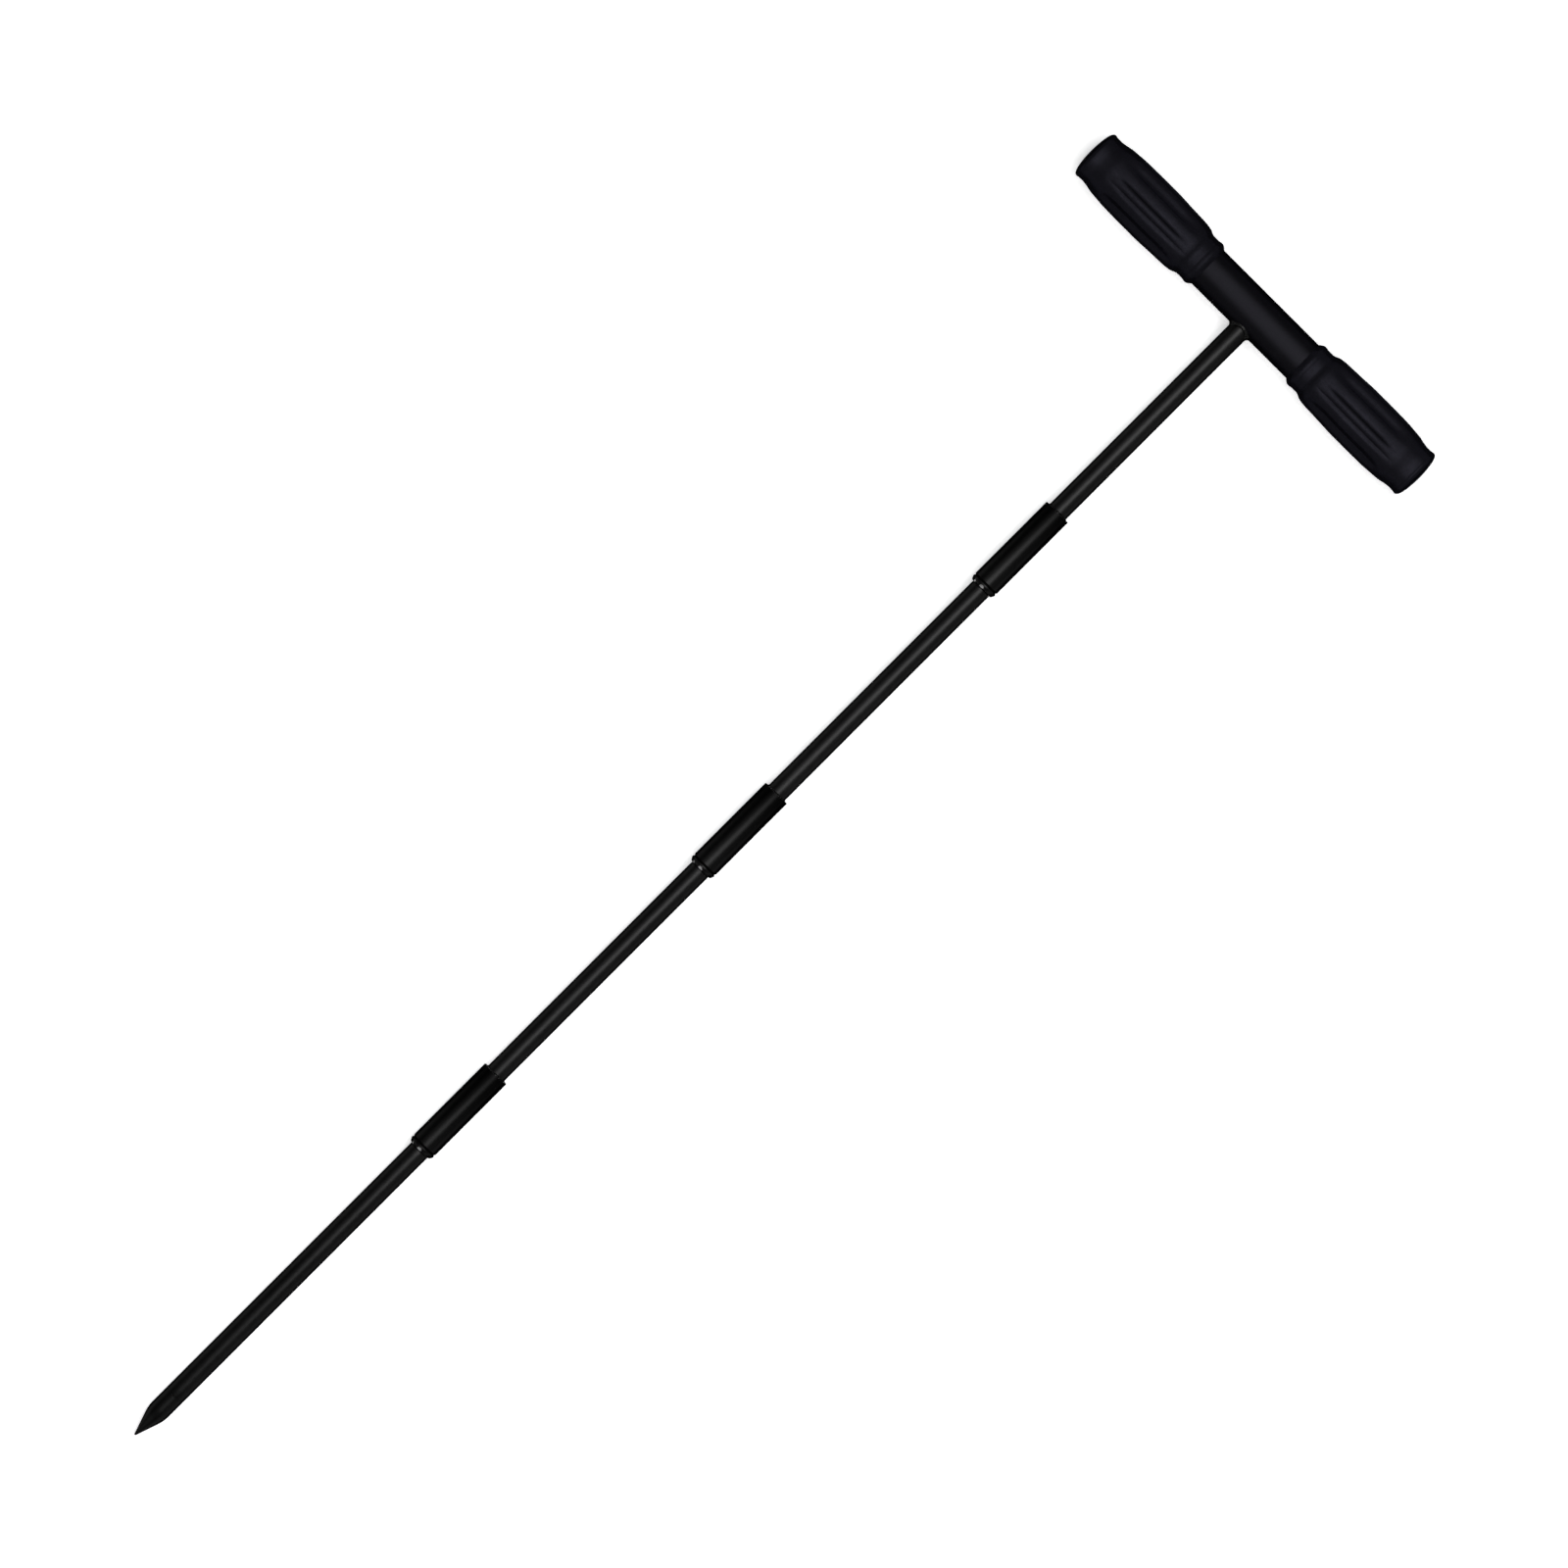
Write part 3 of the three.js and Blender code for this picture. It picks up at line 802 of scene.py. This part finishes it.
def lip_wear_and_glint(piece, stop):
    """How worn the lip's sloping face is at each corner of a coupling, partly wear and partly a painted
    glint: strongest at each patch's middle.
    """
    offset = corners_of(piece.data) - HUB
    along = offset @ RODS.along
    angle = np.arctan2(offset @ RODS.second, offset @ RODS.first)
    outer = np.linalg.norm(offset - np.outer(along, RODS.along), axis=1) > ROD
    near = smooth((along - stop + LIP_RIDGE + LIP_NOSE) / (LIP_RIDGE / 2)) * outer
    wear = np.zeros(len(along))
    for middle, half, strength in LIP_WEAR_AND_GLINT:
        away = folded(angle - math.radians(middle), TURN)
        wear += strength * smooth(1 - away / math.radians(half))
    return wear * near


def painted_shade(piece, start, stop):
    """How deep the painted shade is at each corner of a coupling: from 0 at the mouth evenly to 1 at the
    weld, and 1 in the groove."""
    along = (corners_of(piece.data) - HUB) @ RODS.along
    groove = (along > stop - GROOVE_TOP) & (along < stop - LIP_TOP)
    return np.where(groove, 1.0, (stop - along) / (stop - start)).clip(0, 1)


# Weld beads

BEAD_COLUMNS = 208
BEAD_RIPPLES = 26
BEAD_RIPPLE = 0.06 * MM
FOOT = 0.05 * MM  # how far a bead's back lies inside what it is welded to
COUPLING_BEAD = 0.9 * MM
COUPLING_BEAD_POWER = 1.6  # of the share of the way, which makes its face hollow
COUPLING_BEAD_ROWS = 9
CROSSBAR_BEAD_SIDE = 2.6 * MM  # the bead's reach along the rod at its two sides
CROSSBAR_BEAD_TOP = 0.4 * MM  # and at its top and bottom
CROSSBAR_BEAD_SPREAD = 2.4 * MM  # its rise from the rod at its two sides
CROSSBAR_BEAD_RISE = 2.1 * MM  # and at its top and bottom
CROSSBAR_BEAD_FULL = 2 / 3  # the power that makes its face full at its top and bottom
CROSSBAR_BEAD_BACK = 0.3 * MM  # how far inside the crossbar its back lies, along the rod
CROSSBAR_BEAD_ROWS = 15


def ripples(share):
    """How far a bead's ripples stand out, at a share of the way across its face and all round."""
    return np.sin(math.pi * share) * BEAD_RIPPLE * np.cos(angles(BEAD_COLUMNS) * BEAD_RIPPLES)


def bead(name, node_name, radius, along, back):
    """A rippled bead from the rows of its face, closed by a row against the rod."""
    radius = np.concatenate([radius, np.full((1, BEAD_COLUMNS), ROD - FOOT)])
    along = np.concatenate([along, back])
    piece = skin(name, RODS.place(radius, angles(BEAD_COLUMNS), along), ring=True)
    fit_in(piece, WELD_PAINT, node_name)


def coupling_bead(number):
    """The bead at a coupling's upper end: a hollow fillet between rod and sleeve."""
    name = f"coupling_weld_{number}"
    start = reach(f"coupling_{number}")[0]
    share = np.linspace(0, 1, COUPLING_BEAD_ROWS)[:, None]
    radius = ROD - FOOT + COUPLING_BEAD * share**COUPLING_BEAD_POWER + ripples(share)
    along = start - COUPLING_BEAD * (1 - share) ** COUPLING_BEAD_POWER - ripples(share)
    bead(name + "_rippled", name, radius, along, np.full((1, BEAD_COLUMNS), start + FOOT))


def tube_side(radius, angle):
    """How far from the hub the crossbar's side lies, along the rods, under a point at a radius and angle
    about the rods' axis: the root of the crossbar's radius squared less the point's height squared."""
    height = np.minimum(np.abs(radius * np.cos(angle)), TUBE)
    return np.sqrt(TUBE**2 - height**2)


def crossbar_bead():
    """The bead where the rod enters the crossbar. Its face runs from the rod to the crossbar's side: at the
    two sides it is a hollow quarter circle, at the top and bottom a full quarter whose sine and cosine are
    raised to the power of two thirds, and between them a mean of the two."""
    turn = angles(BEAD_COLUMNS)
    sideways = np.sin(turn) ** 2
    foot_reach = CROSSBAR_BEAD_TOP + (CROSSBAR_BEAD_SIDE - CROSSBAR_BEAD_TOP) * sideways
    rise = CROSSBAR_BEAD_RISE + (CROSSBAR_BEAD_SPREAD - CROSSBAR_BEAD_RISE) * sideways
    corner = tube_side(ROD, turn)
    foot = corner + foot_reach
    top = tube_side(ROD + rise, turn) - 2 * FOOT
    share = np.linspace(0, 1, CROSSBAR_BEAD_ROWS)[:, None]
    sine = np.sin(share * TURN / 4)
    cosine = np.cos(share * TURN / 4)
    up = (1 - sideways) * sine**CROSSBAR_BEAD_FULL + sideways * (1 - cosine)
    inwards = (1 - sideways) * (1 - cosine**CROSSBAR_BEAD_FULL) + sideways * sine
    radius = ROD - FOOT + (rise + FOOT) * up + ripples(share)
    along = foot + (top - foot) * inwards + ripples(share)
    bead("crossbar_weld_rippled", "crossbar_weld", radius, along, corner - CROSSBAR_BEAD_BACK)


# Point

TIP = reach("point")[1]
POINT_ANGLE = math.radians(18)
POINT_ROUNDING = 26 * MM
POINT_BLUNT = 0.78 * MM
POINT_STEP = 3 * MM
POINT_RIM = 6 * MM  # how far from its tip the point's paint is worn
SHOULDER_POINTS = 25
NOSE_STEPS = 8


def point():
    """The point: a cone whose shoulder is an arc that touches both the cone and the rod's side."""
    start = reach("point")[0]
    seam = reach("rod_4")[1]
    cone = (ROD - POINT_BLUNT - POINT_ROUNDING * (1 - math.cos(POINT_ANGLE))) / math.tan(POINT_ANGLE)
    shoulder = TIP - cone - POINT_ROUNDING * math.sin(POINT_ANGLE)
    body = [(0, start), (SHANK, start), (SHANK, seam), (ROD, seam)]
    bend = np.linspace(0, POINT_ANGLE, SHOULDER_POINTS)
    arc_radius = ROD - POINT_ROUNDING * (1 - np.cos(bend))
    arc = np.stack([arc_radius, shoulder + POINT_ROUNDING * np.sin(bend)], axis=1)
    nose = np.linspace(0, TURN / 4, NOSE_STEPS + 1)[1:]
    nose_radius = POINT_BLUNT * np.cos(nose) * math.cos(POINT_ANGLE)
    tip = np.stack([nose_radius, TIP - POINT_BLUNT * (1 - np.sin(nose))], axis=1)
    rows = filled(np.concatenate([body, arc, tip]), POINT_STEP)
    piece = skin("point_ground", RODS.place(rows[:, :1], angles(), rows[:, 1:]))
    store(piece, "rim", nearness(piece, [TIP], POINT_RIM))
    fit_in(piece, ROD_PAINT, "point")


# The stage: floor, light and camera, in metres unless a name says otherwise

FLOOR_COLOUR = 0.86
FLOOR_RINGS = (0, 1, 3)  # the radii at which the flat floor has points
FLOOR_RADIUS = 6.5
WALL_HEIGHT = 1.6
WALL_CURVE = 1.0
WALL_CURVE_POINTS = 13
GLOW_NEAR = 0.42
GLOW_FAR = 0.97
GLOW_CENTRE = (0.35, -0.15, 0.0)  # under the lamps
GLOW_FAR_RADIUS = 1.7
SURROUND = 0.06  # the strength of the dim surround
# Lamps: name, place, the point each faces, length, width, radiance, and the direction of its length
LAMPS = (
    ("overhead", (0.55, -0.2, 1.2), (0.55, -0.2, 0.0), 2.0, 0.56, 5.6, (1.0, 0.0, 0.0)),
    ("beside", (0.55, 0.46, 1.2), (0.55, 0.46, 0.0), 2.0, 0.66, 0.7, (1.0, 0.0, 0.0)),
    ("tip_side", (-2.2, 0.2, 1.35), (0.0, 0.0, 0.0), 1.8, 1.3, 0.55, (0.0, 1.0, 0.0)),
    ("low_side", (0.1, -1.24, 0.86), (0.1, 0.0, 0.0), 2.2, 0.55, 0.45, (1.0, 0.0, 0.0)),
)
PHOTO_SIDE_PX = 1600
MM_PER_PX = 0.61816
HUB_PX = 678.2  # photograph's middle to the crossbar's axis, along the rods
SIDEWAYS_PX = -1.1  # photograph's middle to the rods' axis, along the crossbar
LENS_MM = 200.0
SENSOR_MM = 36.0
VIEW_END = 50.0


def floor_material():
    """Plain and pale. It shows white where nothing shades it, by its colour under the lamps and by a glow
    that the camera and reflections see. The glow grows away from the probe, where the lamps reach less."""
    material, tree, shader = new_material("pale_floor")
    ray = node(tree, "LightPath").outputs
    reflected = worked_out(tree, "MAXIMUM", ray["Is Glossy Ray"], ray["Is Transmission Ray"])
    seen = worked_out(tree, "MAXIMUM", ray["Is Camera Ray"], reflected)
    distance = node(tree, "VectorMath", operation="DISTANCE")
    feed(tree, distance.inputs[0], node(tree, "TexCoord").outputs["Object"])
    feed(tree, distance.inputs[1], GLOW_CENTRE)
    spread = node(
        tree,
        "MapRange",
        interpolation_type="SMOOTHSTEP",
        Value=distance.outputs["Value"],
        From_Max=GLOW_FAR_RADIUS,
        To_Min=GLOW_NEAR,
        To_Max=GLOW_FAR,
    )
    settle(
        tree,
        shader,
        Base_Color=grey(FLOOR_COLOUR),
        Roughness=1.0,
        Specular_IOR_Level=0.0,
        Emission_Color=grey(1.0),
        Emission_Strength=worked_out(tree, "MULTIPLY", seen, spread.outputs["Result"]),
    )
    return material


def studio_floor():
    """A floor that curves up into a low round wall: a flat disc, a quarter circle and a straight rise."""
    bend = np.linspace(0, TURN / 4, WALL_CURVE_POINTS)
    radius = np.concatenate([FLOOR_RINGS, FLOOR_RADIUS + WALL_CURVE * np.sin(bend)])
    height = np.concatenate([np.zeros(len(FLOOR_RINGS)), WALL_CURVE * (1 - np.cos(bend))])
    radius = np.append(radius, radius[-1])[:, None]
    height = np.append(height, WALL_HEIGHT)[:, None]
    turn = angles()
    points = np.stack(
        np.broadcast_arrays(radius * np.cos(turn), radius * np.sin(turn), height), axis=-1
    )
    mesh = bpy.data.meshes.new("studio_floor")
    mesh.from_pydata(points.reshape(-1, 3).tolist(), [], grid_faces(*points.shape[:2]).tolist())
    mesh.materials.append(floor_material())
    piece = bpy.data.objects.new("studio_floor", mesh)
    bpy.context.scene.collection.objects.link(piece)


def stand(thing, right, up, back, place):
    """Puts a lamp or a camera in the scene, at a place and with its own axes along three directions."""
    turn = np.eye(4)
    turn[:3] = np.stack([right, up, back, place], axis=1)
    bpy.context.scene.collection.objects.link(thing)
    thing.matrix_world = turn.T


def lamp(name, place, aim, length, width, radiance, along):
    """A soft rectangular lamp. Its power is pi times its radiance times its area."""
    data = bpy.data.lights.new(name, "AREA")
    data.shape = "RECTANGLE"
    data.size = length
    data.size_y = width
    data.energy = math.pi * radiance * length * width
    back = np.array(place) - np.array(aim)
    back /= np.linalg.norm(back)
    right = np.array(along) - back * (back @ np.array(along))
    right /= np.linalg.norm(right)
    stand(bpy.data.objects.new(name, data), right, np.cross(back, right), back, place)


def lighting():
    """A long soft box above the rods that ends short of the tip and runs on past the handle, with a weak
    one beside it, two weak ones low on the grip_right side and beyond the tip, and a dim surround."""
    for values in LAMPS:
        lamp(*values)
    world = bpy.data.worlds.new("surround")
    world.use_nodes = True
    background = world.node_tree.nodes["Background"]
    background.inputs["Color"].default_value = grey(1.0)
    background.inputs["Strength"].default_value = SURROUND
    bpy.context.scene.world = world


def camera():
    """A long lens square above the probe, turned so that the rods run from lower left to upper right."""
    data = bpy.data.cameras.new("camera")
    data.lens = LENS_MM
    data.sensor_width = SENSOR_MM
    data.sensor_fit = "HORIZONTAL"
    data.clip_end = VIEW_END
    made = bpy.data.objects.new("camera", data)
    px = MM_PER_PX * MM
    aim = HUB + TIPWARD * HUB_PX * px + CROSS * -SIDEWAYS_PX * px
    back = np.array([0.0, 0.0, 1.0])
    right = np.array([1.0, -1.0, 0.0]) / math.sqrt(2)
    distance = PHOTO_SIDE_PX * px * LENS_MM / SENSOR_MM
    stand(made, right, np.cross(back, right), back, aim + back * distance)
    bpy.context.scene.camera = made


camera()
lighting()
studio_floor()
crossbar_tube()
grip("grip_left", 1)
grip("grip_right", -1)
crossbar_bead()
for section in (1, 2, 3, 4):
    rod(section)
for joint in (1, 2, 3):
    coupling(joint)
    coupling_bead(joint)
    stud(joint)
    seal_ring(joint)
point()

bpy.context.scene.view_settings.view_transform = "Standard"
